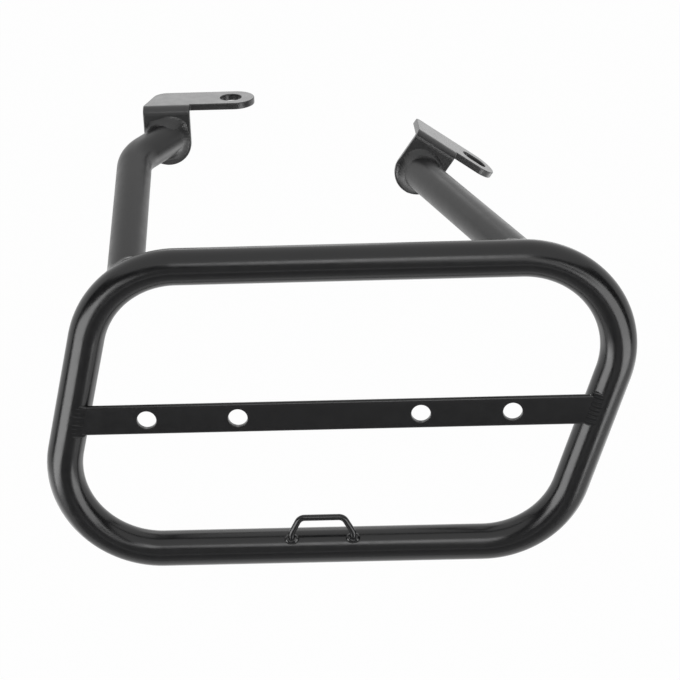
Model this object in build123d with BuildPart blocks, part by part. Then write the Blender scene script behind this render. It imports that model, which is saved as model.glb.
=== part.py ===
"""Pannier frame: the welded tube rack that holds one side bag beside the rear wheel of a motorbike."""
import os
from math import cos, radians, sin, tan

from build123d import *

# Driving dimensions, in millimetres and degrees.
# The origin is the middle of the bag bolt holes, on the front face of the cross bar.
# +X is to the right, +Y goes back to the motorbike and +Z is up.

# Round tube of the loop and of both arms
tube_diameter = 20.0
tube_wall = 2.0
vent_diameter = 8.0  # drilled through the loop's wall into the bore of each arm

# Loop, measured to the centre line of its tube
top_rail_height = 86.4
bottom_rail_drop = 85.2
left_side_distance = 141.9  # along the bolt line, from the origin
right_side_distance = 149.0
left_side_lean = 13.9
right_side_lean = 18.2
loop_bend_radius = 52.0

# Cross bar, a flat bar let in between the two sides of the loop
bar_width = 17.5
bar_thickness = 3.0
bar_setback = 1.0  # from the foremost line of the tube to the bar's front face
bag_hole_diameter = 10.5
inner_hole_spacing = 100.0
outer_hole_spacing = 200.0

# Strap loop, a bent rod that stands on the middle of the bottom rail's straight run
rod_diameter = 3.5
strap_loop_height = 21.1  # of the rod's centre line above the rail's
strap_loop_top_width = 24.4
strap_loop_leg_width = 34.5  # between the centre lines of the two upright legs
strap_loop_shoulder = 9.5  # from the top down to where the legs turn upright
strap_loop_bend_radius = 4.5
strap_loop_forward = 6.5  # from the loop's middle plane

# Arms, from the back of the loop to the brackets
arm_reach = 142.0  # from the loop's middle plane to the ends of the arms' centre lines
arm_setback = 5.5  # from the loop's middle plane to the start of the arms
arm_drop = 2.0  # of the arms' centre lines below the loop's, in the loop's middle plane
arm_bend_radius = 30.0
left_arm_round_bend = 32.0  # round the top left bend, from the end of the top rail
left_arm_corner_shift = -4.0
left_arm_corner_rise = 31.0
left_arm_corner_to_bracket = 26.0  # measured straight back
left_arm_end_shift = 17.0
left_arm_end_rise = 3.1
right_arm_past_bend_start = 1.0  # beyond the end of the top rail's straight run
right_arm_end_shift = -53.3
right_arm_end_rise = 1.8

# Brackets, folded from plate
plate_thickness = 4.0
fold_inner_radius = 1.0
flange_margin = 3.7  # of the flange's round end beyond the tube's radius
tab_height = 22.0  # of the tab's upper face above the middle of the flange's round end
tab_width = 24.0
tab_hole_to_tip = 14.0
left_flange_drop = 2.6  # of the middle of the round end below the arm's end
left_tab_overhang = 37.5  # beyond the flange
left_tab_end_slant = 14.5
left_tab_corner_radius = 8.0
left_hole_diameter = 12.5
right_flange_drop = 1.0
right_tab_overhang = 28.0
right_tab_corner_radius = 3.0
right_slot_width = 10.5
right_slot_length = 16.0
right_bracket_roll = 35.6  # about the arm's end, clockwise from the front
right_bracket_turn = 2.8  # its right end set back
right_bracket_lean = 2.1  # its top set back

# Weld beads
bar_weld_radius = 2.6
bar_weld_end_chamfer = 1.6
bar_weld_overrun = 2.2  # past the bar's edges
strap_weld_radius = 4.4  # of the collar round a foot, at its lower end
strap_weld_top_radius = 2.2
strap_weld_height = 3.2  # above and below the rod's meeting with the rail
loop_weld_size = 1.8
bracket_weld_size = 3.0

# Values worked out from the dimensions above
tube_radius = tube_diameter / 2
bore_radius = tube_radius - tube_wall
loop_setback = tube_radius - bar_setback
flange_half_width = tube_radius + flange_margin
fold_outer_radius = fold_inner_radius + plate_thickness
flange_top = tab_height - fold_outer_radius


def side_offset(height, lean):
    """How far a leaning side of the loop has moved in X at a height above the bolt line."""
    return height * tan(radians(lean))


def bend_run(turn):
    """Length of a loop bend's tangent, from its end to the corner of the unrounded outline."""
    return loop_bend_radius * tan(radians(turn) / 2)


def round_bar(path, radius):
    """A solid round bar along a path."""
    with BuildPart() as bar:
        with BuildSketch(Plane(path @ 0, z_dir=path % 0)):
            Circle(radius)
        sweep(path=path)
    return bar.part


# Loop
top_left_x = -left_side_distance + side_offset(top_rail_height, left_side_lean)
top_right_x = right_side_distance + side_offset(top_rail_height, right_side_lean)
bottom_right_x = right_side_distance - side_offset(bottom_rail_drop, right_side_lean)
bottom_left_x = -left_side_distance - side_offset(bottom_rail_drop, left_side_lean)
top_rail_left_end = top_left_x + bend_run(90 - left_side_lean)
top_rail_right_end = top_right_x - bend_run(90 + right_side_lean)
bottom_rail_right_end = bottom_right_x - bend_run(90 - right_side_lean)
bottom_rail_left_end = bottom_left_x + bend_run(90 + left_side_lean)

with BuildLine(Plane.XZ.offset(-loop_setback)) as loop_line:
    FilletPolyline(
        (top_left_x, top_rail_height),
        (top_right_x, top_rail_height),
        (bottom_right_x, -bottom_rail_drop),
        (bottom_left_x, -bottom_rail_drop),
        radius=loop_bend_radius,
        close=True,
    )
loop_path = loop_line.wire()
loop_filled = round_bar(loop_path, tube_radius)

# Centre lines of the arms: where they cross the loop's middle plane, turn and end
left_arm_start = Vector(
    top_rail_left_end - loop_bend_radius * sin(radians(left_arm_round_bend)),
    loop_setback,
    top_rail_height - loop_bend_radius * (1 - cos(radians(left_arm_round_bend))) - arm_drop,
)
left_arm_corner = left_arm_start + Vector(
    left_arm_corner_shift, arm_reach - left_arm_corner_to_bracket, left_arm_corner_rise
)
left_arm_end = left_arm_corner + Vector(left_arm_end_shift, left_arm_corner_to_bracket, left_arm_end_rise)
right_arm_start = Vector(
    top_rail_right_end + right_arm_past_bend_start, loop_setback, top_rail_height - arm_drop
)
right_arm_end = right_arm_start + Vector(right_arm_end_shift, arm_reach, right_arm_end_rise)
left_arm_points = [left_arm_start, left_arm_corner, left_arm_end]
right_arm_points = [right_arm_start, right_arm_end]

with BuildPart() as loop_tube:
    add(loop_filled)
    add(round_bar(loop_path, bore_radius), mode=Mode.SUBTRACT)
    for points in (left_arm_points, right_arm_points):
        with BuildSketch(Plane(points[0], z_dir=points[1] - points[0])):
            Circle(vent_diameter / 2)
        extrude(amount=tube_diameter, mode=Mode.SUBTRACT)

# Cross bar, cut to the round of the tube at both ends
half_bar = bar_width / 2
with BuildPart() as cross_bar:
    with BuildSketch(Plane.XZ):
        with BuildLine():
            Polyline(
                (-left_side_distance + side_offset(half_bar, left_side_lean), half_bar),
                (right_side_distance + side_offset(half_bar, right_side_lean), half_bar),
                (right_side_distance - side_offset(half_bar, right_side_lean), -half_bar),
                (-left_side_distance - side_offset(half_bar, left_side_lean), -half_bar),
                close=True,
            )
        make_face()
        for spacing in (inner_hole_spacing, outer_hole_spacing):
            with GridLocations(spacing, 0, 2, 1):
                Circle(bag_hole_diameter / 2, mode=Mode.SUBTRACT)
    extrude(amount=-bar_thickness)
    add(loop_filled, mode=Mode.SUBTRACT)

# Strap loop
strap_loop_x = (bottom_rail_left_end + bottom_rail_right_end) / 2
strap_loop_top = strap_loop_height - bottom_rail_drop
half_leg_width = strap_loop_leg_width / 2
with BuildLine(Plane.XZ.offset(strap_loop_forward - loop_setback)) as strap_line:
    FilletPolyline(
        (strap_loop_x - half_leg_width, -bottom_rail_drop),
        (strap_loop_x - half_leg_width, strap_loop_top - strap_loop_shoulder),
        (strap_loop_x - strap_loop_top_width / 2, strap_loop_top),
        (strap_loop_x + strap_loop_top_width / 2, strap_loop_top),
        (strap_loop_x + half_leg_width, strap_loop_top - strap_loop_shoulder),
        (strap_loop_x + half_leg_width, -bottom_rail_drop),
        radius=strap_loop_bend_radius,
    )
strap_rod = round_bar(strap_line.wire(), rod_diameter / 2)

with BuildPart() as strap_loop:
    add(strap_rod)
    add(loop_filled, mode=Mode.SUBTRACT)


def bracket_seat(arm_end, flange_drop, turn, lean, roll):
    """Front face of a bracket: origin at the middle of its round end, X along the fold, Z to the front."""
    level = Vector(cos(radians(turn)), sin(radians(turn)), 0)
    facing = Vector(level.Y, -level.X, 0) * cos(radians(lean)) + Vector(0, 0, sin(radians(lean)))
    along_fold = level.rotate(Axis((0, 0, 0), facing), -roll)
    arm_seat = Plane(arm_end, x_dir=along_fold, z_dir=facing)
    return Plane(arm_seat.from_local_coords((0, -flange_drop, 0)), x_dir=along_fold, z_dir=facing)


left_seat = bracket_seat(left_arm_end, left_flange_drop, 0, 0, 0)
right_seat = bracket_seat(
    right_arm_end, right_flange_drop, right_bracket_turn, right_bracket_lean, right_bracket_roll
)


def arm_bar(points, start_setback, radius):
    """A solid bar along an arm's centre line, from behind the loop's middle plane to past the bracket."""
    first = points[0] + (points[1] - points[0]).normalized() * start_setback
    last = points[-1] + (points[-1] - points[-2]).normalized() * tube_diameter
    stops = [first, *points[1:-1], last]
    with BuildLine() as path:
        if len(stops) > 2:
            FilletPolyline(*stops, radius=arm_bend_radius)
        else:
            Line(*stops)
    return round_bar(path.wire(), radius)


def hollow_arm(points, seat):
    """An arm of tube, coped round the loop and cut off at the face of its bracket."""
    with BuildPart() as arm:
        add(arm_bar(points, arm_setback, tube_radius))
        add(arm_bar(points, arm_setback, bore_radius), mode=Mode.SUBTRACT)
        add(loop_filled, mode=Mode.SUBTRACT)
        split(bisect_by=seat, keep=Keep.TOP)
    return arm


left_arm = hollow_arm(left_arm_points, left_seat)
right_arm = hollow_arm(right_arm_points, right_seat)


def folded_bracket(seat, overhang, end_slant, corner_radius, hole_width, hole_length):
    """A plate folded once: a flange with a round end, and a tab that runs on past it to a bolt hole."""
    fold_section = Plane(
        seat.from_local_coords((-flange_half_width, 0, 0)), x_dir=-seat.z_dir, z_dir=seat.x_dir
    )
    bend_centre = (fold_outer_radius, flange_top)
    tab_top = Plane(seat.from_local_coords((0, tab_height, 0)), x_dir=seat.x_dir, z_dir=seat.y_dir)
    tab_back = fold_outer_radius + tab_width
    tab_middle = fold_outer_radius + tab_width / 2
    tab_tip = flange_half_width + overhang
    tab_round = tab_tip - tab_width / 2
    back_corner = (-flange_half_width + tab_width * tan(radians(end_slant)), tab_back)
    with BuildPart() as bracket:
        with BuildSketch(fold_section):
            with BuildLine():
                CenterArc(bend_centre, fold_outer_radius, 90, 90)
                CenterArc(bend_centre, fold_inner_radius, 90, 90)
                Line((fold_outer_radius, tab_height), (fold_outer_radius, tab_height - plate_thickness))
                Polyline((0, flange_top), (0, 0), (plate_thickness, 0), (plate_thickness, flange_top))
            make_face()
        extrude(amount=2 * flange_half_width)
        with BuildSketch(seat):
            Circle(flange_half_width)
        extrude(amount=-plate_thickness)
        with BuildSketch(tab_top):
            with BuildLine():
                Polyline(
                    (-flange_half_width, fold_outer_radius),
                    back_corner,
                    (tab_round, tab_back),
                    (tab_round, fold_outer_radius),
                    close=True,
                )
            make_face()
            fillet(vertices().sort_by_distance(back_corner)[0], corner_radius)
            with Locations((tab_round, tab_middle)):
                Circle(tab_width / 2)
            with Locations((tab_tip - tab_hole_to_tip, tab_middle)):
                if hole_length > hole_width:
                    SlotOverall(hole_length, hole_width, mode=Mode.SUBTRACT)
                else:
                    Circle(hole_width / 2, mode=Mode.SUBTRACT)
        extrude(amount=-plate_thickness)
    return bracket


left_bracket = folded_bracket(
    left_seat,
    left_tab_overhang,
    left_tab_end_slant,
    left_tab_corner_radius,
    left_hole_diameter,
    left_hole_diameter,
)
right_bracket = folded_bracket(
    right_seat, right_tab_overhang, 0, right_tab_corner_radius, right_slot_width, right_slot_length
)

# Weld beads. The bar's front face runs out on the tube this far from the tube's centre line,
# and the strap loop's legs meet the rail this high above its centre line.
bar_weld_reach = (tube_radius**2 - loop_setback**2) ** 0.5
foot_height = (tube_radius**2 - strap_loop_forward**2) ** 0.5


def bar_weld(side, lean):
    """A bead down one end of the cross bar, bevelled at both ends, lying in the corner with the tube."""
    half_length = half_bar / cos(radians(lean)) + bar_weld_overrun
    corner = side * (abs(side) - bar_weld_reach / cos(radians(lean))) / abs(side)
    bead_axis = Plane((corner, 0, 0), x_dir=(0, 1, 0), z_dir=(sin(radians(lean)), 0, cos(radians(lean))))
    with BuildPart() as bead:
        with BuildSketch(bead_axis.offset(-half_length)):
            Circle(bar_weld_radius)
        extrude(amount=2 * half_length)
        chamfer(bead.edges().filter_by(GeomType.CIRCLE), bar_weld_end_chamfer)
        add(loop_filled, mode=Mode.SUBTRACT)
        add(cross_bar.part, mode=Mode.SUBTRACT)
    return bead


def strap_weld(foot_x):
    """A tapered collar of weld round one foot of the strap loop."""
    with BuildPart() as bead:
        with Locations((foot_x, loop_setback - strap_loop_forward, foot_height - bottom_rail_drop)):
            Cone(strap_weld_radius, strap_weld_top_radius, 2 * strap_weld_height)
        add(strap_rod, mode=Mode.SUBTRACT)
        add(loop_filled, mode=Mode.SUBTRACT)
    return bead


def loop_weld(points):
    """A bead in the corner between an arm and the loop."""
    with BuildPart() as bead:
        add(arm_bar(points, arm_setback - loop_weld_size, tube_radius + loop_weld_size))
        add(round_bar(loop_path, tube_radius + loop_weld_size), mode=Mode.INTERSECT)
        add(arm_bar(points, arm_setback, tube_radius), mode=Mode.SUBTRACT)
        add(loop_filled, mode=Mode.SUBTRACT)
    return bead


def bracket_weld(points, seat):
    """A bead round the end of an arm, on the face of its bracket."""
    with BuildPart() as bead:
        with BuildSketch(seat):
            Circle(flange_half_width)
            Rectangle(2 * flange_half_width, flange_top, align=(Align.CENTER, Align.MIN))
        extrude(amount=bracket_weld_size)
        add(arm_bar(points, arm_setback, tube_radius + bracket_weld_size), mode=Mode.INTERSECT)
        add(arm_bar(points, arm_setback, tube_radius), mode=Mode.SUBTRACT)
    return bead


pieces = {
    "loop_tube": loop_tube,
    "cross_bar": cross_bar,
    "strap_loop": strap_loop,
    "left_arm": left_arm,
    "right_arm": right_arm,
    "left_bracket": left_bracket,
    "right_bracket": right_bracket,
    "cross_bar_left_weld": bar_weld(-left_side_distance, left_side_lean),
    "cross_bar_right_weld": bar_weld(right_side_distance, right_side_lean),
    "strap_loop_left_weld": strap_weld(strap_loop_x - half_leg_width),
    "strap_loop_right_weld": strap_weld(strap_loop_x + half_leg_width),
    "left_arm_loop_weld": loop_weld(left_arm_points),
    "right_arm_loop_weld": loop_weld(right_arm_points),
    "left_arm_bracket_weld": bracket_weld(left_arm_points, left_seat),
    "right_arm_bracket_weld": bracket_weld(right_arm_points, right_seat),
}

os.makedirs("parts", exist_ok=True)
for name, piece in pieces.items():
    piece.part.label = name
    export_step(piece.part, f"parts/{name}.step")
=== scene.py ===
"""Pannier frame: coated tubes, drilled bar, strap rod, folded plates and weld beads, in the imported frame."""
import math
import random
from collections import namedtuple

import bmesh
import bpy
from mathutils import Matrix, Vector


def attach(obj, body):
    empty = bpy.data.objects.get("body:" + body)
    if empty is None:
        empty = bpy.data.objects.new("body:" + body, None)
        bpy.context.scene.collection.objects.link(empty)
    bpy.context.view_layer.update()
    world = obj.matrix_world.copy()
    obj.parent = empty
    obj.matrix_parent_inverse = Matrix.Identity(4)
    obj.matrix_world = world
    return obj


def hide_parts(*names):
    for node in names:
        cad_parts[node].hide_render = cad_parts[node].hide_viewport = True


bl_info = {
    "name": "Pannier Frame",
    "version": (1, 0, 0),
    "blender": (4, 5, 0),
    "location": "View3D > Sidebar > Pannier",
    "description": "Builds a black coated pannier frame of bent tube, with its plates and weld beads",
    "category": "Add Mesh",
}

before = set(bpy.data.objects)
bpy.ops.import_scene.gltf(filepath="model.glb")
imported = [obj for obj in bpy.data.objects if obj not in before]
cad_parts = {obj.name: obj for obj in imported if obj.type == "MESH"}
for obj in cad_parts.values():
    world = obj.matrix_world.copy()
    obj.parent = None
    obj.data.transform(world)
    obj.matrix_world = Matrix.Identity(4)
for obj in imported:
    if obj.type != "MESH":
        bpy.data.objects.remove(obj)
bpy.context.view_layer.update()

UP = Vector((0, 0, 1))
FRONT = Vector((0, -1, 0))

# Fineness of the meshes
TUBE_SIDES = 72
ROD_SIDES = 32
DRILL_SIDES = 64
BEND_STEP_DEGREES = 3
FEWEST_BEND_STEPS = 6
FOLD_STEPS = 8
EDGE_SEGMENTS = 4
FLANGE_END_SEGMENTS = 24
TAB_END_SEGMENTS = 20
TAB_CORNER_SEGMENTS = 10
BAR_END_DROPS = 34
FOOT_DROPS = 24
ARM_STOPS = 90
FILLET_DROPS = 8

# Tolerances in metres, and edge angles in degrees
SAME_PLACE = 1e-5
SAME_VERTEX = 1e-6
SHARP_DEGREES = 40
SMOOTH_DEGREES = 35
BEAD_SMOOTH_DEGREES = 80

# Fits of the plates, drills and arms
FACES_AXIS = 0.9  # least part of a normal along the axis that it faces
ROUND_END_SHARE = 0.999  # of a half width
BAR_DRILL_REACH = 4  # thicknesses
TAB_DRILL_REACH = 3  # thicknesses
ARM_OVERRUN = 2  # tube radii past the plate, before the cut
ARM_SINK = 0.25  # plate thicknesses

# Habits of the beads
BAR_END_INWARD = 0.15  # how far the drops at the bar's ends face inwards
FOOT_STRETCH = 1.3  # width of the ring round a foot, against its depth
FOOT_BLOB = 0.45  # growth of the drops at the two sides of a foot
FOOT_BLOB_POWER = 3  # how close that growth keeps to the sides
HAND_WAVES = 3
RIPPLE_DROPS = 5
SADDLE_FILL = 0  # from 0, hollow, to 0.5, flat
RING_FILL = 0.3

# Limits of the fillets, in metres
SEARCH_START = 0.05  # up the arm from the loop
SEARCH_LENGTH = 0.06
WIDEST_STEP = 0.008  # from one place round the arm to the next
LEAST_FOOT = 0.0003  # out on the plate

# A bead's coat, as shares of a tube's
BEAD_LOW_SHARE = 0.8
BEAD_HIGH_SHARE = 0.85
BEAD_PEEL_SHARE = 1.5

# Floor, card, wall, world, lamps and camera of the stage
FLOOR_SIZE = 30
FLOOR_GLOW = 0.985
CARD_MIDDLE = (-0.03, -1.12)
CARD_RISE = 0.01
CARD_SIZE = (1.1, 1.66)
CARD_FLARE = 1.8  # width of the front edge, against the back edge
CARD_SHADE = 0.6
WALL_SIDES = 96
WALL_RADIUS = 2.3
WALL_HEIGHT = 2.4
WALL_BACK = 0.15  # how far the wall runs back past the middle
WALL_SHADE = 0.25
WORLD_LIGHT = 0.2  # level of the light that it throws
WORLD_SEEN = 1.0  # level at which it is seen
WIDEST_SPREAD = 180  # degrees
SENSOR_WIDTH = 36  # millimetres

BeadStyle = namedtuple("BeadStyle", "drop evenness ripple lumps coat")

# Properties


def length(name, description, default):
    """A property in metres."""
    return bpy.props.FloatProperty(
        name=name, description=description, default=default, precision=4, unit="LENGTH"
    )


def angle(name, description, degrees):
    """A property that holds an angle."""
    return bpy.props.FloatProperty(
        name=name, description=description, default=math.radians(degrees), subtype="ANGLE", unit="ROTATION"
    )


def place(name, description, default):
    """A property that holds a point in metres."""
    return bpy.props.FloatVectorProperty(
        name=name,
        description=description,
        default=default,
        size=3,
        precision=4,
        subtype="TRANSLATION",
        unit="LENGTH",
    )


def share(name, description, default):
    """A property from 0 to 1."""
    return bpy.props.FloatProperty(
        name=name, description=description, default=default, min=0, max=1, precision=3, subtype="FACTOR"
    )


def colour(name, description, default):
    """A property that holds a linear colour."""
    return bpy.props.FloatVectorProperty(
        name=name, description=description, default=default, size=3, min=0, max=1, subtype="COLOR"
    )


class LoopSizes(bpy.types.PropertyGroup):
    """The closed loop of bent tube, measured to the tube's centre line."""

    tube_radius: length("Tube radius", "Outer radius of the tube of the loop and of the arms", 0.010)
    bend_radius: length("Bend radius", "Radius of the loop's bends", 0.052)
    mid_plane: length("Middle plane", "Distance of the loop's centre line behind the bar's face", 0.009)
    top_rail: length("Top rail", "Height of the top rail above the bolt line", 0.0864)
    bottom_rail: length("Bottom rail", "Drop of the bottom rail below the bolt line", 0.0852)
    left_side: length("Left side", "Distance of the left side from the middle, on the bolt line", 0.1419)
    right_side: length("Right side", "Distance of the right side from the middle, on the bolt line", 0.1490)
    left_lean: angle("Left lean", "Lean of the left side to the right", 13.9)
    right_lean: angle("Right lean", "Lean of the right side to the right", 18.2)


class ArmSizes(bpy.types.PropertyGroup):
    """The two tubes that go back from the loop to the plates."""

    bend_radius: length("Bend radius", "Radius of the left arm's bend", 0.030)
    setback: length("Setback", "Start of an arm behind the loop's middle plane, inside its tube", 0.0055)
    left_start: place(
        "Left start", "Where the left arm's line crosses the loop's middle plane", (-0.10737, 0.009, 0.0765)
    )
    left_corner: place("Left corner", "Corner of the left arm's line", (-0.11137, 0.125, 0.1075))
    left_end: place("Left end", "End of the left arm's line, on its plate", (-0.09437, 0.151, 0.1106))
    right_start: place(
        "Right start", "Where the right arm's line crosses the loop's middle plane", (0.10658, 0.009, 0.0844)
    )
    right_end: place("Right end", "End of the right arm's line, on its plate", (0.05328, 0.151, 0.0862))


class BarSizes(bpy.types.PropertyGroup):
    """The flat bar with four bolt holes."""

    width: length("Width", "Height of the bar's front face", 0.0175)
    thickness: length("Thickness", "Thickness of the bar", 0.003)
    hole_radius: length("Hole radius", "Radius of the bolt holes", 0.00525)
    inner_spacing: length("Inner spacing", "Distance between the two inner holes", 0.100)
    outer_spacing: length("Outer spacing", "Distance between the two outer holes", 0.200)
    edge_round: length("Edge round", "Rounding of the bar's long edges", 0.0014)
    rim_round: length("Rim round", "Rounding of the bolt holes' rims", 0.0004)


class RodSizes(bpy.types.PropertyGroup):
    """The bent rod of the strap loop."""

    radius: length("Radius", "Radius of the rod", 0.00175)
    middle: length("Middle", "Place of the strap loop along the bottom rail", -0.0066)
    height: length("Height", "Height of the rod's top above the rail's centre line", 0.0211)
    top_width: length("Top width", "Width across the top corners", 0.0244)
    leg_width: length("Leg width", "Width across the upright legs", 0.0345)
    shoulder: length("Shoulder", "Drop from the top to where the legs turn upright", 0.0095)
    bend_radius: length("Bend radius", "Radius of the rod's bends", 0.0045)
    forward: length("Forward", "Place of the rod in front of the rail's centre line", 0.0065)


class PlateSizes(bpy.types.PropertyGroup):
    """The two brackets folded from plate."""

    thickness: length("Thickness", "Thickness of the plate", 0.004)
    fold_radius: length("Fold radius", "Inner radius of the fold", 0.001)
    half_width: length("Half width", "Half the width of the flange, and the radius of its round end", 0.0137)
    tab_height: length("Tab height", "Height of the tab's upper face above the round end's middle", 0.022)
    tab_width: length("Tab width", "Width of the tab behind the fold", 0.024)
    hole_to_tip: length("Hole to tip", "Distance of the bolt hole from the tab's tip", 0.014)
    left_drop: length("Left drop", "Drop of the left flange's middle below the arm's end", 0.0026)
    left_overhang: length("Left overhang", "How far the left tab runs on past its flange", 0.0375)
    left_slant: angle("Left slant", "Slant of the left tab's short end", 14.5)
    left_corner: length("Left corner", "Radius of the left tab's back corner", 0.008)
    left_hole: length("Left hole", "Diameter of the left tab's bolt hole", 0.0125)
    right_drop: length("Right drop", "Drop of the right flange's middle below the arm's end", 0.001)
    right_overhang: length("Right overhang", "How far the right tab runs on past its flange", 0.028)
    right_corner: length("Right corner", "Radius of the right tab's back corner", 0.003)
    right_slot_width: length("Right slot width", "Width of the right tab's slot", 0.0105)
    right_slot_length: length("Right slot length", "Length of the right tab's slot", 0.016)
    right_roll: angle("Right roll", "Roll of the right plate about its arm's end", 35.6)
    right_turn: angle("Right turn", "Setting back of the right plate's right end", 2.8)
    right_lean: angle("Right lean", "Setting back of the right plate's top", 2.1)
    edge_round: length("Edge round", "Rounding of the plates' edges", 0.0006)


class BeadSizes(bpy.types.PropertyGroup):
    """The weld beads, each a run of overlapping drops, by half the length, width and height of a drop."""

    bar_drop: place("Bar drop", "Drops at the bar's ends", (0.0020, 0.0060, 0.0010))
    bar_place: length("Bar place", "Distance of those drops' middles from the tube's centre line", 0.0040)
    bar_sink: length("Bar sink", "Depth of those drops' middles below the bar's front face", 0.00036)
    bar_overrun: length("Bar overrun", "Run of the last of those drops past the bar's edges", -0.0008)
    foot_drop: place("Foot drop", "Drops at the strap rod's feet", (0.0013, 0.0014, 0.0016))
    fillet_drop: place("Fillet drop", "Drops of the fillets at the arms' two ends", (0.0016, 0.0014, 0.0009))
    saddle_leg: length("Saddle leg", "Reach of the fillet up the arm and out on the loop", 0.0046)
    ring_leg: length("Ring leg", "Reach of the fillet along the arm from its plate", 0.0058)
    ring_foot: length("Ring foot", "Greatest reach of the fillet out on the plate", 0.0034)
    ring_margin: length("Ring margin", "Bare strip between that fillet and the plate's edge", 0.0014)
    skin: length("Skin", "Fineness of the skin that joins the drops", 0.00032)


class CoatLook(bpy.types.PropertyGroup):
    """The baked black powder coat."""

    base: colour("Coat colour", "Colour of the coat", (0.0040, 0.0040, 0.0044))
    worn: colour("Thin coat colour", "Colour where the coat lies a little thinner", (0.0062, 0.0062, 0.0066))
    gloss_low: share("Smoothest", "Roughness of the smoothest places", 0.19)
    gloss_high: share("Roughest", "Roughness of the roughest places", 0.26)
    arm_low: share("Arm smoothest", "Roughness of the arms' smoothest places", 0.29)
    arm_high: share("Arm roughest", "Roughness of the arms' roughest places", 0.36)
    plate_low: share("Plate smoothest", "Roughness of the plates' smoothest places", 0.42)
    plate_high: share("Plate roughest", "Roughness of the plates' roughest places", 0.50)
    plate_glaze: share("Plate glaze", "Strength of the smooth glaze over the plates", 0.62)
    ring_low: share("Ring smoothest", "Roughness of the smoothest places of the beads on the plates", 0.36)
    ring_high: share("Ring roughest", "Roughness of the roughest places of the beads on the plates", 0.46)
    ring_glaze: share("Ring glaze", "Strength of the smooth glaze over the beads on the plates", 0.45)
    peel_depth: length("Peel depth", "Depth of the coat's orange peel", 0.00002)


class StageLook(bpy.types.PropertyGroup):
    """Floor and camera."""

    floor_drop: length("Floor drop", "Drop of the floor below the bolt line", 0.75)
    floor: colour("Floor colour", "Colour of the floor", (0.82, 0.82, 0.82))
    camera_place: place("Camera place", "Place of the camera", (0.0364, -1.0287, 0.5039))
    camera_pan: angle("Camera pan", "Turn of the camera to the left", 1.62)
    camera_tilt: angle("Camera tilt", "Tilt of the camera below level", 24.02)
    camera_roll: angle("Camera roll", "Roll of the camera about its own line of sight", -2.06)
    lens: bpy.props.FloatProperty(
        name="Lens",
        description="Focal length in millimetres on a 36 mm sensor",
        default=111.18,
        unit="CAMERA",
    )


class PannierSettings(bpy.types.PropertyGroup):
    """All the sizes and looks of the pannier frame."""

    loop: bpy.props.PointerProperty(type=LoopSizes)
    arm: bpy.props.PointerProperty(type=ArmSizes)
    bar: bpy.props.PointerProperty(type=BarSizes)
    rod: bpy.props.PointerProperty(type=RodSizes)
    plate: bpy.props.PointerProperty(type=PlateSizes)
    bead: bpy.props.PointerProperty(type=BeadSizes)
    coat: bpy.props.PointerProperty(type=CoatLook)
    stage: bpy.props.PointerProperty(type=StageLook)


# Modelling steps that several pieces share


def deselect_all():
    bpy.ops.object.select_all(action="DESELECT")


def take_new(name):
    """Names the object just added and puts its place, turn and size into its mesh."""
    piece = bpy.context.object
    piece.name = piece.data.name = name
    bpy.ops.object.transform_apply(location=True, rotation=True, scale=True)
    return piece


def edit(mode):
    bpy.ops.object.mode_set(mode="EDIT")
    bpy.ops.mesh.select_mode(type=mode)


def leave_edit():
    bpy.ops.object.mode_set(mode="OBJECT")


def pick(piece, kind, test):
    """Selects the vertices, edges or faces of a piece in edit mode that pass a test, and nothing else."""
    bpy.ops.mesh.select_all(action="DESELECT")
    mesh = bmesh.from_edit_mesh(piece.data)
    mesh.normal_update()
    found = [item for item in getattr(mesh, kind) if test(item)]
    if not found:
        raise RuntimeError(f"nothing found to select on {piece.name}")
    for item in found:
        item.select_set(True)
    mesh.select_flush_mode()
    bmesh.update_edit_mesh(piece.data)


def near(value, target):
    return abs(value - target) < SAME_PLACE


def pull(step):
    """Extrudes what is selected."""
    bpy.ops.mesh.extrude_region_move(TRANSFORM_OT_translate={"value": step})


def close_skin():
    """Merges the doubles of the mesh in edit mode, closes its open ends and turns its faces outwards."""
    bpy.ops.mesh.select_all(action="SELECT")
    bpy.ops.mesh.remove_doubles(threshold=SAME_VERTEX)
    bpy.ops.mesh.fill_holes(sides=0)
    bpy.ops.mesh.select_all(action="SELECT")
    bpy.ops.mesh.normals_make_consistent(inside=False)


def finish_modifier(piece, kind, **values):
    """Adds a modifier to a piece and applies it."""
    deselect_all()
    piece.select_set(True)
    bpy.context.view_layer.objects.active = piece
    modifier = piece.modifiers.new(kind.title(), kind)
    for key, value in values.items():
        setattr(modifier, key, value)
    bpy.ops.object.modifier_apply(modifier=modifier.name)


def smooth(piece, degrees=SMOOTH_DEGREES):
    deselect_all()
    piece.select_set(True)
    bpy.context.view_layer.objects.active = piece
    bpy.ops.object.shade_smooth_by_angle(angle=math.radians(degrees))


def round_edges(piece, width):
    """Rounds the sharp edges of a plate or bar and keeps its flat faces flat in the light."""
    finish_modifier(
        piece,
        "BEVEL",
        width=width,
        segments=EDGE_SEGMENTS,
        limit_method="ANGLE",
        angle_limit=math.radians(SHARP_DEGREES),
        use_clamp_overlap=False,
    )
    smooth(piece)
    finish_modifier(piece, "WEIGHTED_NORMAL", mode="FACE_AREA", weight=100, keep_sharp=True)


def cut_away(piece, cutter):
    """Takes the cutter's shape out of a piece and removes the cutter."""
    finish_modifier(piece, "BOOLEAN", operation="DIFFERENCE", solver="EXACT", object=cutter)
    bpy.data.objects.remove(cutter)


def drill_bit(radius, middle, depth):
    """A round cutter that stands across a flat face."""
    deselect_all()
    bpy.ops.mesh.primitive_cylinder_add(
        vertices=DRILL_SIDES, radius=radius, depth=depth, location=middle, rotation=(math.pi / 2, 0, 0)
    )
    return take_new("drill")


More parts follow.
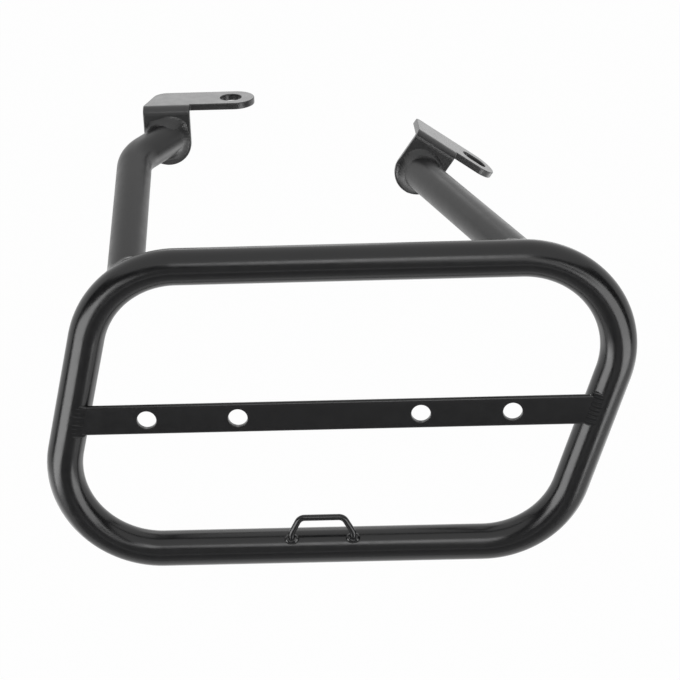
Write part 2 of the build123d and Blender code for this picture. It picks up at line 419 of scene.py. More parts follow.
def settle(piece, coat, slot, *nodes):
    """Coats a finished piece and puts it on the frame in place of its CAD nodes."""
    piece.data.materials.clear()
    piece.data.materials.append(coat)
    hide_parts(*nodes)
    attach(piece, "root")


def bent_tube(name, route, radius, bend_radius, sides, closed=False):
    """A round tube drawn from one ring, pulled along each run of a route and spun round its bends."""
    stops = [Vector(stop) for stop in route]
    here = (stops[0] + stops[1]) / 2 if closed else stops[0]
    begin = here.copy()
    heading = (stops[1] - stops[0]).normalized()
    deselect_all()
    bpy.ops.mesh.primitive_circle_add(
        vertices=sides,
        radius=radius,
        fill_type="NOTHING",
        location=here,
        rotation=UP.rotation_difference(heading).to_euler(),
    )
    piece = take_new(name)
    edit("VERT")
    bpy.ops.mesh.select_all(action="SELECT")
    corners = stops[1:] + stops[:1] if closed else stops[1:-1]
    goals = stops[2:] + stops[:2] if closed else stops[2:]
    for corner, goal in zip(corners, goals):
        heading = (corner - here).normalized()
        onward = (goal - corner).normalized()
        turn = heading.angle(onward)
        run = bend_radius * math.tan(turn / 2)
        bend_start = corner - heading * run
        axis = heading.cross(onward).normalized()
        pull(bend_start - here)
        bpy.ops.mesh.spin(
            steps=max(FEWEST_BEND_STEPS, round(math.degrees(turn) / BEND_STEP_DEGREES)),
            angle=-turn,
            center=bend_start + axis.cross(heading) * bend_radius,
            axis=axis,
        )
        here = corner + onward * run
    pull((begin if closed else stops[-1]) - here)
    close_skin()
    leave_edit()
    smooth(piece)
    return piece


# Weld beads


def bead_drop(half_sizes):
    """One drop of weld, a ball stretched to its length along the bead, its width and its height."""
    deselect_all()
    bpy.ops.mesh.primitive_ico_sphere_add(subdivisions=2, radius=1)
    drop = take_new("weld_drop")
    edit("VERT")
    bpy.ops.mesh.select_all(action="SELECT")
    bpy.ops.transform.resize(value=half_sizes)
    leave_edit()
    return drop


def hand_waver(dice, count, fewest, most):
    """The unevenness of a bead laid by hand, as a value from -1 to 1 for each drop."""
    waves = [(dice.randint(fewest, most), dice.uniform(0, 2 * math.pi)) for _ in range(HAND_WAVES)]
    return [
        sum(math.sin(2 * math.pi * turns * k / count + start) for turns, start in waves) / len(waves)
        for k in range(count)
    ]


def weld_bead(name, stops, style, skin, seed):
    """A bead of overlapping drops on stops of place, run, outward direction and swell, under one skin."""
    dice = random.Random(seed)
    drop = bead_drop(style.drop)
    swells = hand_waver(dice, len(stops), *style.lumps)
    shifts = hand_waver(dice, len(stops), *style.lumps)
    laid = []
    for k, (spot, run, outward, swell) in enumerate(stops):
        across = outward.cross(run).normalized()
        along = across.cross(outward).normalized()
        ripple = style.ripple * math.sin(2 * math.pi * k / RIPPLE_DROPS)
        grow = swell * (1 + style.evenness * swells[k] + ripple)
        wander = across * shifts[k] * style.drop[1] * style.evenness
        turned = Matrix((along, across, outward)).transposed().to_4x4()
        copy = drop.copy()
        copy.data = drop.data.copy()
        bpy.context.scene.collection.objects.link(copy)
        copy.matrix_world = Matrix.Translation(spot + wander) @ turned @ Matrix.Scale(grow, 4)
        laid.append(copy)
    bpy.data.objects.remove(drop)
    deselect_all()
    for copy in laid:
        copy.select_set(True)
    bpy.context.view_layer.objects.active = laid[0]
    bpy.ops.object.join()
    piece = take_new(name)
    finish_modifier(piece, "REMESH", mode="VOXEL", voxel_size=skin)
    finish_modifier(piece, "SMOOTH", factor=0.5, iterations=4)
    smooth(piece, BEAD_SMOOTH_DEGREES)
    return piece


def bar_end_stops(side, lean, sizes):
    """Stops down the corner between the bar's front face and a leaning side of the loop."""
    bar, bead = sizes.bar, sizes.bead
    inward = -math.copysign(1, side)
    run = Vector((math.sin(lean), 0, math.cos(lean)))
    corner = Vector((side + inward * bead.bar_place / math.cos(lean), bead.bar_sink, 0))
    outward = (FRONT + Vector((inward * BAR_END_INWARD, 0, 0))).normalized()
    half = bar.width / 2 / math.cos(lean) + bead.bar_overrun
    last = BAR_END_DROPS - 1
    return [(corner + run * half * (2 * k / last - 1), run, outward, 1) for k in range(BAR_END_DROPS)]


def foot_stops(foot, sizes):
    """Stops round one foot of the strap rod, on the upper front of the rail, with a blob on each side."""
    loop, rod = sizes.loop, sizes.rod
    height = math.sqrt(loop.tube_radius**2 - rod.forward**2)
    on_rail = Vector((foot, loop.mid_plane - rod.forward, height - loop.bottom_rail))
    outward = Vector((0, -rod.forward, height)).normalized()
    side = Vector((1, 0, 0))
    uphill = outward.cross(side)
    stops = []
    for k in range(FOOT_DROPS):
        turn = 2 * math.pi * k / FOOT_DROPS
        spot = on_rail + (side * math.cos(turn) * FOOT_STRETCH + uphill * math.sin(turn)) * rod.radius
        blob = FOOT_BLOB * abs(math.cos(turn)) ** FOOT_BLOB_POWER
        stops.append((spot, side, outward, 1 + blob))
    return stops


def fillet_row(arm_edge, corner, far_edge, arm_normal, far_normal, run, depth, fill):
    """Stops across a fillet, from the arm's skin to the loop or plate. A fill of 0.5 makes it flat."""
    stops = []
    corner = corner.lerp(arm_edge + far_edge - corner, fill)
    for step in range(FILLET_DROPS):
        t = step / (FILLET_DROPS - 1)
        skin = arm_edge * (1 - t) ** 2 + corner * 2 * t * (1 - t) + far_edge * t**2
        facing = arm_normal.lerp(far_normal, t).normalized()
        stops.append((skin - facing * depth, run.normalized(), facing, 1))
    return stops


def saddle_stops(arm_start, arm_next, loop_piece, sizes):
    """Stops over the fillet of an arm on the loop, found by following the arm's skin down onto the loop."""
    bead = sizes.bead
    axis = (arm_next - arm_start).normalized()
    side = axis.orthogonal().normalized()
    upward = axis.cross(side)
    places = []
    for k in range(ARM_STOPS):
        turn = 2 * math.pi * k / ARM_STOPS
        radial = side * math.cos(turn) + upward * math.sin(turn)
        start = arm_start + axis * SEARCH_START + radial * sizes.loop.tube_radius
        hit, spot, normal, _ = loop_piece.ray_cast(start, -axis, distance=SEARCH_LENGTH)
        places.append((spot, radial, normal) if hit else None)
    stops = []
    for k, here in enumerate(places):
        after = places[(k + 1) % ARM_STOPS]
        if here is None or after is None:
            continue
        corner, radial, normal = here
        run = after[0] - corner
        if run.length < SAME_PLACE or run.length > WIDEST_STEP:
            continue
        out_on_loop = (radial - normal * radial.dot(normal)).normalized()
        reach = corner + out_on_loop * bead.saddle_leg
        _, loop_edge, loop_normal, _ = loop_piece.closest_point_on_mesh(reach)
        arm_edge = corner + axis * bead.saddle_leg
        depth = bead.fillet_drop[2]
        stops += fillet_row(arm_edge, corner, loop_edge, radial, loop_normal, run, depth, SADDLE_FILL)
    return stops


def ring_stops(arm_end, axis, seat, sizes):
    """Stops over the fillet round the end of an arm, kept inside the edge of its plate."""
    bead, plate = sizes.bead, sizes.plate
    facing = seat.col[2].to_3d()
    middle = seat.to_translation()
    to_plate = seat.inverted()
    side = axis.orthogonal().normalized()
    upward = axis.cross(side)
    corners = []
    for k in range(ARM_STOPS):
        turn = 2 * math.pi * k / ARM_STOPS
        radial = side * math.cos(turn) + upward * math.sin(turn)
        on_skin = arm_end + radial * sizes.loop.tube_radius
        corners.append((on_skin + axis * ((middle - on_skin).dot(facing) / axis.dot(facing)), radial))
    stops = []
    for k, (corner, radial) in enumerate(corners):
        run = corners[(k + 1) % ARM_STOPS][0] - corner
        local = to_plate @ corner
        room = plate.half_width - math.hypot(local.x, min(local.y, 0)) - bead.ring_margin
        foot = min(max(room, LEAST_FOOT), bead.ring_foot)
        out_on_plate = (radial - facing * radial.dot(facing)).normalized()
        arm_edge = corner - axis * bead.ring_leg
        plate_edge = corner + out_on_plate * foot
        depth = bead.fillet_drop[2]
        stops += fillet_row(arm_edge, corner, plate_edge, radial, facing, run, depth, RING_FILL)
    return stops


# Finishes


def powder_coat(name, look, smoothest, roughest, glaze=0, peel_share=1):
    """Black powder coat: a faint cloudy tone, uneven gloss, fine orange peel and a smooth glaze over it."""
    coat = bpy.data.materials.new(name)
    coat.use_nodes = True
    nodes, links = coat.node_tree.nodes, coat.node_tree.links
    shader = nodes["Principled BSDF"]
    shader.inputs["IOR"].default_value = 1.5
    shader.inputs["Specular IOR Level"].default_value = 0.5
    shader.inputs["Coat Weight"].default_value = glaze
    shader.inputs["Coat Roughness"].default_value = look.gloss_low
    where = nodes.new("ShaderNodeTexCoord")

    def noise(scale, detail):
        texture = nodes.new("ShaderNodeTexNoise")
        texture.inputs["Scale"].default_value = scale
        texture.inputs["Detail"].default_value = detail
        links.new(where.outputs["Object"], texture.inputs["Vector"])
        return texture.outputs["Fac"]

    tone = nodes.new("ShaderNodeMix")
    tone.data_type = "RGBA"
    tone.inputs["A"].default_value = (*look.base, 1)
    tone.inputs["B"].default_value = (*look.worn, 1)
    links.new(noise(scale=45, detail=4), tone.inputs["Factor"])
    links.new(tone.outputs["Result"], shader.inputs["Base Color"])

    gloss = nodes.new("ShaderNodeMapRange")
    gloss.inputs["From Min"].default_value = 0.3
    gloss.inputs["From Max"].default_value = 0.7
    gloss.inputs["To Min"].default_value = smoothest
    gloss.inputs["To Max"].default_value = roughest
    links.new(noise(scale=160, detail=3), gloss.inputs["Value"])
    links.new(gloss.outputs["Result"], shader.inputs["Roughness"])

    bump = nodes.new("ShaderNodeBump")
    bump.inputs["Strength"].default_value = 0.35
    bump.inputs["Distance"].default_value = look.peel_depth * peel_share
    links.new(noise(scale=750, detail=2), bump.inputs["Height"])
    links.new(bump.outputs["Normal"], shader.inputs["Normal"])
    return coat


def mixed_coat(name, look):
    """The coat of that name, mixed when a piece first needs it."""
    recipes = {
        "black_powder_coat": {"smoothest": look.gloss_low, "roughest": look.gloss_high},
        "soft_powder_coat": {"smoothest": look.arm_low, "roughest": look.arm_high},
        "satin_powder_coat": {
            "smoothest": look.plate_low,
            "roughest": look.plate_high,
            "glaze": look.plate_glaze,
        },
        "satin_bead_coat": {
            "smoothest": look.ring_low,
            "roughest": look.ring_high,
            "glaze": look.ring_glaze,
        },
        "coated_weld": {
            "smoothest": look.gloss_low * BEAD_LOW_SHARE,
            "roughest": look.gloss_high * BEAD_HIGH_SHARE,
            "peel_share": BEAD_PEEL_SHARE,
        },
    }
    return bpy.data.materials.get(name) or powder_coat(name, look, **recipes[name])


# Lines and seats that several pieces share


def loop_route(loop):
    """Corners of the loop's centre line, from the top left one clockwise as seen from the front."""
    left, right = math.tan(loop.left_lean), math.tan(loop.right_lean)
    top, bottom = loop.top_rail, -loop.bottom_rail
    return [
        (-loop.left_side + left * top, loop.mid_plane, top),
        (loop.right_side + right * top, loop.mid_plane, top),
        (loop.right_side + right * bottom, loop.mid_plane, bottom),
        (-loop.left_side + left * bottom, loop.mid_plane, bottom),
    ]


def left_arm_line(arm):
    return [Vector(arm.left_start), Vector(arm.left_corner), Vector(arm.left_end)]


def right_arm_line(arm):
    return [Vector(arm.right_start), Vector(arm.right_end)]


def plate_seat(arm_end, drop, turn, lean, roll):
    """Front face of a plate as a matrix: X along its fold, Y up the flange and Z to the front."""
    level = Vector((math.cos(turn), math.sin(turn), 0))
    facing = Vector((level.y, -level.x, 0)) * math.cos(lean) + UP * math.sin(lean)
    along = Matrix.Rotation(-roll, 3, facing) @ level
    up = facing.cross(along)
    seat = Matrix((along, up, facing)).transposed().to_4x4()
    seat.translation = arm_end - up * drop
    return seat


def left_seat(sizes):
    return plate_seat(Vector(sizes.arm.left_end), sizes.plate.left_drop, 0, 0, 0)


def right_seat(sizes):
    plate = sizes.plate
    return plate_seat(
        Vector(sizes.arm.right_end), plate.right_drop, plate.right_turn, plate.right_lean, plate.right_roll
    )


# Folded plates


def folded_plate(name, seat, plate, overhang, slant, corner, hole_width, hole_length):
    """A plate folded once: a flange with a round end, and a tab that runs on past it to its bolt hole."""
    half, thick = plate.half_width, plate.thickness
    fold = plate.fold_radius + thick
    flange_top = plate.tab_height - fold
    tab_back = -fold - plate.tab_width
    tip = half + overhang
    deselect_all()
    bpy.ops.mesh.primitive_cube_add(
        size=1,
        location=(0, (flange_top - half) / 2, -thick / 2),
        scale=(2 * half, flange_top + half, thick),
    )
    piece = take_new(name)
    edit("FACE")
    pick(piece, "faces", lambda f: f.normal.y > FACES_AXIS)
    bpy.ops.mesh.spin(steps=FOLD_STEPS, angle=math.pi / 2, center=(0, flange_top, -fold), axis=(1, 0, 0))
    pull((0, 0, -plate.tab_width))
    pick(
        piece, "faces", lambda f: f.normal.x > FACES_AXIS and f.calc_center_median().z < -fold - thick
    )
    pull((overhang, 0, 0))
    bpy.ops.mesh.select_all(action="SELECT")
    bpy.ops.mesh.remove_doubles(threshold=SAME_VERTEX)
    bpy.ops.mesh.normals_make_consistent(inside=False)
    if slant:
        bpy.ops.mesh.bisect(
            plane_co=(-half, 0, -fold),
            plane_no=(-math.cos(slant), 0, -math.sin(slant)),
            use_fill=True,
            clear_outer=True,
        )
    bpy.ops.mesh.select_mode(type="EDGE")

    def upright(edge):
        one, two = (vertex.co for vertex in edge.verts)
        return near(one.x, two.x) and near(one.z, two.z)

    def through(edge):
        one, two = (vertex.co for vertex in edge.verts)
        return near(one.x, two.x) and near(one.y, two.y)

    def round_corners(offset, segments):
        bpy.ops.mesh.bevel(offset=offset, segments=segments, affect="EDGES", clamp_overlap=False)

    pick(piece, "edges", lambda e: through(e) and near(e.verts[0].co.y, -half))
    round_corners(half * ROUND_END_SHARE, FLANGE_END_SEGMENTS)
    pick(piece, "edges", lambda e: upright(e) and near(e.verts[0].co.x, tip))
    round_corners(plate.tab_width / 2 * ROUND_END_SHARE, TAB_END_SEGMENTS)
    pick(piece, "edges", lambda e: upright(e) and near(e.verts[0].co.z, tab_back) and e.verts[0].co.x < 0)
    round_corners(corner * math.tan((math.pi / 2 - slant) / 2), TAB_CORNER_SEGMENTS)
    leave_edit()
    middle = tip - plate.hole_to_tip
    drill = drill_bit(
        hole_width / 2,
        (middle, plate.tab_height - thick / 2, -fold - plate.tab_width / 2),
        thick * TAB_DRILL_REACH,
    )
    if hole_length > hole_width:
        edit("VERT")
        for right_end in (False, True):
            pick(drill, "verts", lambda v: (v.co.x > middle) == right_end)
            stretch = (hole_length - hole_width) / 2
            bpy.ops.transform.translate(value=(stretch if right_end else -stretch, 0, 0))
        leave_edit()
    cut_away(piece, drill)
    round_edges(piece, plate.edge_round)
    piece.matrix_world = seat
    deselect_all()
    piece.select_set(True)
    bpy.context.view_layer.objects.active = piece
    return take_new(name)


# Operators, one for each piece or group of like pieces


class PANNIER_OT_loop(bpy.types.Operator):
    """Bend the closed loop from one length of tube"""

    bl_idname = "pannier.loop"
    bl_label = "Bent Tube Loop"

    def execute(self, context):
        sizes = context.scene.pannier
        loop = sizes.loop
        route = loop_route(loop)
        piece = bent_tube("tube_loop", route, loop.tube_radius, loop.bend_radius, TUBE_SIDES, closed=True)
        settle(piece, mixed_coat("black_powder_coat", sizes.coat), "frame", "loop_tube")
        return {"FINISHED"}


class PANNIER_OT_arms(bpy.types.Operator):
    """Make the two arms, from inside the loop's tube to the faces of their plates"""

    bl_idname = "pannier.arms"
    bl_label = "Arms"

    def execute(self, context):
        sizes = context.scene.pannier
        lines = {
            "left_arm": (left_arm_line(sizes.arm), left_seat(sizes)),
            "right_arm": (right_arm_line(sizes.arm), right_seat(sizes)),
        }
        radius = sizes.loop.tube_radius
        for node, (line, seat) in lines.items():
            run = (line[-1] - line[-2]).normalized()
            first = line[0] + (line[1] - line[0]).normalized() * sizes.arm.setback
            past = line[-1] + run * radius * ARM_OVERRUN
            route = [first, *line[1:-1], past]
            piece = bent_tube(node + "_tube", route, radius, sizes.arm.bend_radius, TUBE_SIDES)
            facing = seat.col[2].to_3d()
            edit("VERT")
            bpy.ops.mesh.select_all(action="SELECT")
            bpy.ops.mesh.bisect(
                plane_co=seat.to_translation() - facing * sizes.plate.thickness * ARM_SINK,
                plane_no=-facing,
                use_fill=True,
                clear_outer=True,
            )
            close_skin()
            leave_edit()
            smooth(piece)
            settle(piece, mixed_coat("soft_powder_coat", sizes.coat), "frame", node)
        return {"FINISHED"}


class PANNIER_OT_bar(bpy.types.Operator):
    """Make the flat bar, slant its ends along the loop's sides and drill its four holes"""

    bl_idname = "pannier.bar"
    bl_label = "Drilled Bar"

    def execute(self, context):
        sizes = context.scene.pannier
        loop, bar = sizes.loop, sizes.bar
        deselect_all()
        bpy.ops.mesh.primitive_cube_add(
            size=1,
            location=((loop.right_side - loop.left_side) / 2, bar.thickness / 2, 0),
            scale=(loop.right_side + loop.left_side, bar.thickness, bar.width),
        )
        piece = take_new("drilled_bar")
        edit("VERT")
        for right_end, lean in ((False, loop.left_lean), (True, loop.right_lean)):
            for above in (False, True):
                pick(piece, "verts", lambda v: (v.co.x > 0) == right_end and (v.co.z > 0) == above)
                slide = math.tan(lean) * bar.width / 2
                bpy.ops.transform.translate(value=(slide if above else -slide, 0, 0))
        leave_edit()
        round_edges(piece, bar.edge_round)
        drills = []
        for spacing in (bar.inner_spacing, bar.outer_spacing):
            for end in (-0.5, 0.5):
                middle = (end * spacing, bar.thickness / 2, 0)
                drills.append(drill_bit(bar.hole_radius, middle, bar.thickness * BAR_DRILL_REACH))
        for drill in drills:
            cut_away(piece, drill)
        round_edges(piece, bar.rim_round)
        settle(piece, mixed_coat("black_powder_coat", sizes.coat), "frame", "cross_bar")
        return {"FINISHED"}


class PANNIER_OT_strap_rod(bpy.types.Operator):
    """Bend the strap loop's rod, with its feet inside the bottom rail's skin"""

    bl_idname = "pannier.strap_rod"
    bl_label = "Strap Rod"

    def execute(self, context):
        sizes = context.scene.pannier
        loop, rod = sizes.loop, sizes.rod
        depth = loop.mid_plane - rod.forward
        foot = -loop.bottom_rail
        top = foot + rod.height
        half_leg, half_top = rod.leg_width / 2, rod.top_width / 2
        outline = [
            (-half_leg, foot),
            (-half_leg, top - rod.shoulder),
            (-half_top, top),
            (half_top, top),
            (half_leg, top - rod.shoulder),
            (half_leg, foot),
        ]
        route = [(rod.middle + x, depth, z) for x, z in outline]
        piece = bent_tube("strap_rod", route, rod.radius, rod.bend_radius, ROD_SIDES)
        settle(piece, mixed_coat("black_powder_coat", sizes.coat), "frame", "strap_loop")
        return {"FINISHED"}


class PANNIER_OT_plates(bpy.types.Operator):
    """Fold the two brackets, round their ends and cut the bolt hole and the slot"""

    bl_idname = "pannier.plates"
    bl_label = "Folded Plates"

    def execute(self, context):
        sizes = context.scene.pannier
        plate = sizes.plate
        left = folded_plate(
            "left_plate",
            left_seat(sizes),
            plate,
            plate.left_overhang,
            plate.left_slant,
            plate.left_corner,
            plate.left_hole,
            plate.left_hole,
        )
        right = folded_plate(
            "right_plate",
            right_seat(sizes),
            plate,
            plate.right_overhang,
            0,
            plate.right_corner,
            plate.right_slot_width,
            plate.right_slot_length,
        )
        settle(left, mixed_coat("satin_powder_coat", sizes.coat), "frame", "left_bracket")
        settle(right, mixed_coat("satin_powder_coat", sizes.coat), "frame", "right_bracket")
        return {"FINISHED"}


class PANNIER_OT_beads(bpy.types.Operator):
    """Lay the weld beads in the corners between the pieces"""

    bl_idname = "pannier.beads"
    bl_label = "Weld Beads"

    def execute(self, context):
        sizes = context.scene.pannier
        loop, rod, bead, arm = sizes.loop, sizes.rod, sizes.bead, sizes.arm
        loop_piece = bpy.data.objects["tube_loop"]
        left, right = left_arm_line(arm), right_arm_line(arm)
        left_run = (left[-1] - left[-2]).normalized()
        right_run = (right[-1] - right[-2]).normalized()
        bar_ends = BeadStyle(bead.bar_drop, evenness=0.04, ripple=0.06, lumps=(2, 6), coat="coated_weld")
        feet = BeadStyle(bead.foot_drop, evenness=0.10, ripple=0, lumps=(2, 6), coat="coated_weld")
        saddles = BeadStyle(bead.fillet_drop, evenness=0.24, ripple=0, lumps=(2, 6), coat="coated_weld")
        rings = BeadStyle(bead.fillet_drop, evenness=0.32, ripple=0.05, lumps=(3, 9), coat="satin_bead_coat")

        def lay(node, stops, style, seed):
            piece = weld_bead(node.replace("_weld", "_bead"), stops, style, bead.skin, seed)
            settle(piece, mixed_coat(style.coat, sizes.coat), "weld", node)

        left_end = bar_end_stops(-loop.left_side, loop.left_lean, sizes)
        right_end = bar_end_stops(loop.right_side, loop.right_lean, sizes)
        lay("cross_bar_left_weld", left_end, bar_ends, seed=3)
        lay("cross_bar_right_weld", right_end, bar_ends, seed=8)
        half_leg = rod.leg_width / 2
        lay("strap_loop_left_weld", foot_stops(rod.middle - half_leg, sizes), feet, seed=5)
        lay("strap_loop_right_weld", foot_stops(rod.middle + half_leg, sizes), feet, seed=6)
        lay("left_arm_loop_weld", saddle_stops(left[0], left[1], loop_piece, sizes), saddles, seed=11)
        lay("right_arm_loop_weld", saddle_stops(right[0], right[1], loop_piece, sizes), saddles, seed=12)
        left_ring = ring_stops(left[-1], left_run, left_seat(sizes), sizes)
        right_ring = ring_stops(right[-1], right_run, right_seat(sizes), sizes)
        lay("left_arm_bracket_weld", left_ring, rings, seed=21)
        lay("right_arm_bracket_weld", right_ring, rings, seed=22)
        return {"FINISHED"}


# Stage


def seen_directly(nodes, links):
    """1 for what the camera, a reflection or a clear surface shows, 0 for light that falls on the object."""
    path = nodes.new("ShaderNodeLightPath")
    total = path.outputs["Is Camera Ray"]
    for kind in ("Is Glossy Ray", "Is Transmission Ray"):
        either = nodes.new("ShaderNodeMath")
        either.operation = "MAXIMUM"
        links.new(total, either.inputs[0])
        links.new(path.outputs[kind], either.inputs[1])
        total = either.outputs["Value"]
    return total


def pale_floor(look):
    """A pale floor that looks white to the camera and in reflections, and still takes shadows."""
    paint = bpy.data.materials.new("pale_floor")
    paint.use_nodes = True
    nodes, links = paint.node_tree.nodes, paint.node_tree.links
    nodes.clear()
    matt = nodes.new("ShaderNodeBsdfDiffuse")
    matt.inputs["Color"].default_value = (*look.floor, 1)
    glow = nodes.new("ShaderNodeEmission")
    share_seen = nodes.new("ShaderNodeMath")
    share_seen.operation = "MULTIPLY"
    share_seen.inputs[1].default_value = FLOOR_GLOW
    links.new(seen_directly(nodes, links), share_seen.inputs[0])
    both = nodes.new("ShaderNodeMixShader")
    links.new(share_seen.outputs["Value"], both.inputs["Fac"])
    links.new(matt.outputs["BSDF"], both.inputs[1])
    links.new(glow.outputs["Emission"], both.inputs[2])
    out = nodes.new("ShaderNodeOutputMaterial")
    links.new(both.outputs["Shader"], out.inputs["Surface"])
    return paint


def dark_cloth(piece, shade):
    """Gives a card or wall of the studio a dark matt finish, which darkens reflections, and hides it from the
    camera.
    """
    cloth = bpy.data.materials.new(piece.name)
    cloth.use_nodes = True
    shader = cloth.node_tree.nodes["Principled BSDF"]
    shader.inputs["Base Color"].default_value = (shade, shade, shade, 1)
    shader.inputs["Roughness"].default_value = 0.9
    shader.inputs["Specular IOR Level"].default_value = 0
    piece.data.materials.append(cloth)
    piece.visible_camera = False


def lay_floor(look):
    deselect_all()
    bpy.ops.mesh.primitive_plane_add(size=FLOOR_SIZE, location=(0, 0, -look.floor_drop))
    floor = take_new("floor")
    floor.data.materials.append(pale_floor(look))


def lay_card(look):
    """A dark card on the floor in front of the frame, which flares towards the camera."""
    deselect_all()
    bpy.ops.mesh.primitive_plane_add(size=1, location=(*CARD_MIDDLE, CARD_RISE - look.floor_drop))
    card = take_new("floor_card")
    edit("VERT")
    bpy.ops.mesh.select_all(action="SELECT")
    bpy.ops.transform.resize(value=(*CARD_SIZE, 1))
    pick(card, "verts", lambda v: v.co.y < CARD_MIDDLE[1])
    bpy.ops.transform.resize(value=(CARD_FLARE, 1, 1))
    leave_edit()
    dark_cloth(card, CARD_SHADE)


def stand_wall(look):
    """A dark half round wall behind the camera."""
    deselect_all()
    bpy.ops.mesh.primitive_cylinder_add(
        vertices=WALL_SIDES,
        radius=WALL_RADIUS,
        depth=WALL_HEIGHT,
        end_fill_type="NOTHING",
        location=(0, 0, WALL_HEIGHT / 2 - look.floor_drop),
    )
    wall = take_new("dark_wall")
    edit("VERT")
    pick(wall, "verts", lambda v: v.co.y > WALL_BACK)
    bpy.ops.mesh.delete(type="VERT")
    bpy.ops.mesh.select_all(action="SELECT")
    bpy.ops.mesh.flip_normals()
    leave_edit()
    dark_cloth(wall, WALL_SHADE)


def bearing(azimuth, elevation, distance):
    """A place round the frame, by degrees to the right of the front, degrees above level and metres."""
    side, rise = math.radians(azimuth), math.radians(elevation)
    level = math.cos(rise)
    return Vector((math.sin(side) * level, -math.cos(side) * level, math.sin(rise))) * distance


def studio_lamp(name, spot, size, radiance, roll=0, aim=(0, 0, 0), spread=WIDEST_SPREAD):
    """A soft rectangular lamp that faces a point of the frame and isn't seen by the camera."""
    width, height = size
    data = bpy.data.lights.new(name, "AREA")
    data.shape = "RECTANGLE"
    data.size = width
    data.size_y = height
    data.energy = radiance * math.pi * width * height
    if spread < WIDEST_SPREAD:
        half = math.radians(spread) / 2
        data.spread = 2 * half
        data.energy *= 1 - half / math.tan(half)
    lamp = bpy.data.objects.new(name, data)
    bpy.context.scene.collection.objects.link(lamp)
    facing = (Vector(aim) - spot).to_track_quat("-Z", "Y").to_matrix()
    turn = facing @ Matrix.Rotation(math.radians(roll), 3, "Z")
    lamp.matrix_world = Matrix.Translation(spot) @ turn.to_4x4()
    lamp.visible_camera = False


def hang_lamps():
    """The soft lamps round the frame, and three narrow ones for the plates' tabs and the left arm's bend."""
    studio_lamp("front_strip", bearing(0, 34, 1.8), size=(0.55, 0.50), radiance=3.7, roll=15)
    studio_lamp("slant_strip", bearing(15, 13, 1.5), size=(0.32, 0.95), radiance=1.7, roll=35)
    studio_lamp("front_fill", bearing(0, -4, 1.7), size=(0.9, 1.3), radiance=0.3)
    studio_lamp("left_box", bearing(-53, -10, 0.9), size=(0.70, 0.62), radiance=4.7, roll=12)
    studio_lamp("right_box", bearing(50, -10, 0.9), size=(0.64, 0.78), radiance=3.4, roll=28)
    studio_lamp("left_bend_strip", bearing(-29.5, 8.8, 1.56), size=(0.64, 0.22), radiance=2.4, roll=-32)
    studio_lamp("right_bend_strip", bearing(34.4, 18.2, 1.59), size=(0.70, 0.22), radiance=2.9, roll=-13)
    left_tab = {"aim": (-0.085, 0.168, 0.132), "spread": 44}
    right_tab = {"aim": (0.095, 0.17, 0.10), "spread": 44}
    left_bend = {"aim": (-0.096, 0.131, 0.106), "spread": 44}
    studio_lamp("back_left_box", bearing(-170, 29.5, 0.545), size=(0.22, 0.16), radiance=1.5, **left_tab)
    studio_lamp("back_right_box", bearing(156.6, 15.2, 0.496), size=(0.17, 0.15), radiance=0.6, **right_tab)
    studio_lamp("bend_side_box", bearing(156, -11, 0.294), size=(0.16, 0.16), radiance=1.9, **left_bend)
    studio_lamp("low_left_box", bearing(-112, -38, 1.0), size=(0.8, 0.5), radiance=0.7)
    studio_lamp("low_right_box", bearing(128, -38, 1.0), size=(0.6, 0.5), radiance=0.5)


def white_world(scene):
    """A white world that throws less light on the frame than it shows in reflections."""
    world = bpy.data.worlds.new("studio")
    world.use_nodes = True
    nodes, links = world.node_tree.nodes, world.node_tree.links
    backdrop = nodes["Background"]
    backdrop.inputs["Color"].default_value = (1, 1, 1, 1)
    level = nodes.new("ShaderNodeMapRange")
    level.inputs["To Min"].default_value = WORLD_LIGHT
    level.inputs["To Max"].default_value = WORLD_SEEN
    links.new(seen_directly(nodes, links), level.inputs["Value"])
    links.new(level.outputs["Result"], backdrop.inputs["Strength"])
    scene.world = world


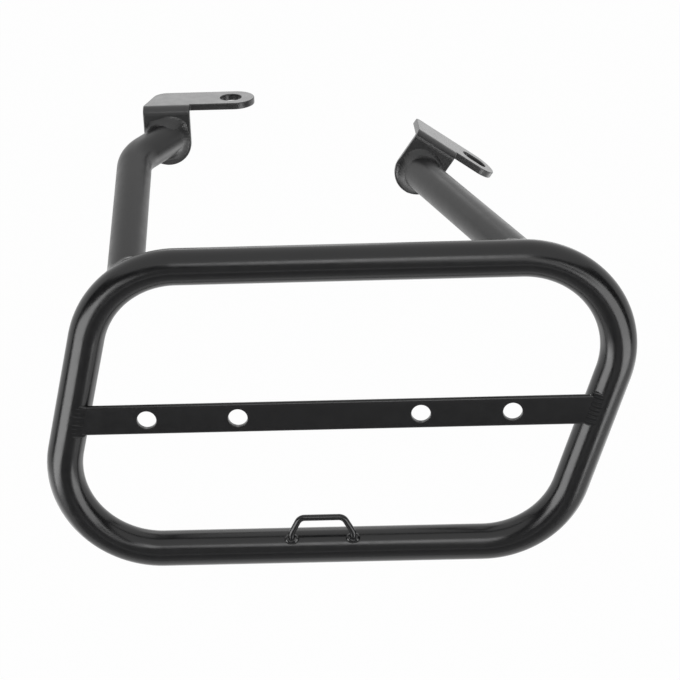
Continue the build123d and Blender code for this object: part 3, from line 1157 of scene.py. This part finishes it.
def set_camera(scene, look):
    data = bpy.data.cameras.new("camera")
    data.sensor_width = SENSOR_WIDTH
    data.lens = look.lens
    camera = bpy.data.objects.new("camera", data)
    scene.collection.objects.link(camera)
    turn = (
        Matrix.Rotation(look.camera_pan, 4, "Z")
        @ Matrix.Rotation(math.pi / 2 - look.camera_tilt, 4, "X")
        @ Matrix.Rotation(look.camera_roll, 4, "Z")
    )
    camera.matrix_world = Matrix.Translation(Vector(look.camera_place)) @ turn
    scene.camera = camera


class PANNIER_OT_stage(bpy.types.Operator):
    """Set the floor, the lamps, the world and the camera"""

    bl_idname = "pannier.stage"
    bl_label = "Studio Stage"

    def execute(self, context):
        scene = context.scene
        look = scene.pannier.stage
        scene.view_settings.view_transform = "Standard"
        lay_floor(look)
        lay_card(look)
        stand_wall(look)
        hang_lamps()
        white_world(scene)
        set_camera(scene, look)
        return {"FINISHED"}


# Sidebar and registration


class PANNIER_PT_sidebar(bpy.types.Panel):
    """Lists the operators of the pannier frame"""

    bl_label = "Pannier Frame"
    bl_idname = "PANNIER_PT_sidebar"
    bl_space_type = "VIEW_3D"
    bl_region_type = "UI"
    bl_category = "Pannier"

    def draw(self, context):
        for operator in OPERATORS:
            self.layout.operator(operator.bl_idname)


SETTINGS = (
    LoopSizes, ArmSizes, BarSizes, RodSizes, PlateSizes, BeadSizes, CoatLook, StageLook, PannierSettings
)
OPERATORS = (
    PANNIER_OT_loop,
    PANNIER_OT_arms,
    PANNIER_OT_bar,
    PANNIER_OT_strap_rod,
    PANNIER_OT_plates,
    PANNIER_OT_beads,
    PANNIER_OT_stage,
)


def register():
    for group in (*SETTINGS, *OPERATORS, PANNIER_PT_sidebar):
        bpy.utils.register_class(group)
    bpy.types.Scene.pannier = bpy.props.PointerProperty(type=PannierSettings)


def unregister():
    del bpy.types.Scene.pannier
    for group in reversed((*SETTINGS, *OPERATORS, PANNIER_PT_sidebar)):
        bpy.utils.unregister_class(group)


def main():
    register()
    bpy.ops.pannier.loop()
    bpy.ops.pannier.arms()
    bpy.ops.pannier.bar()
    bpy.ops.pannier.strap_rod()
    bpy.ops.pannier.plates()
    bpy.ops.pannier.beads()
    bpy.ops.pannier.stage()


if __name__ == "__main__":
    main()
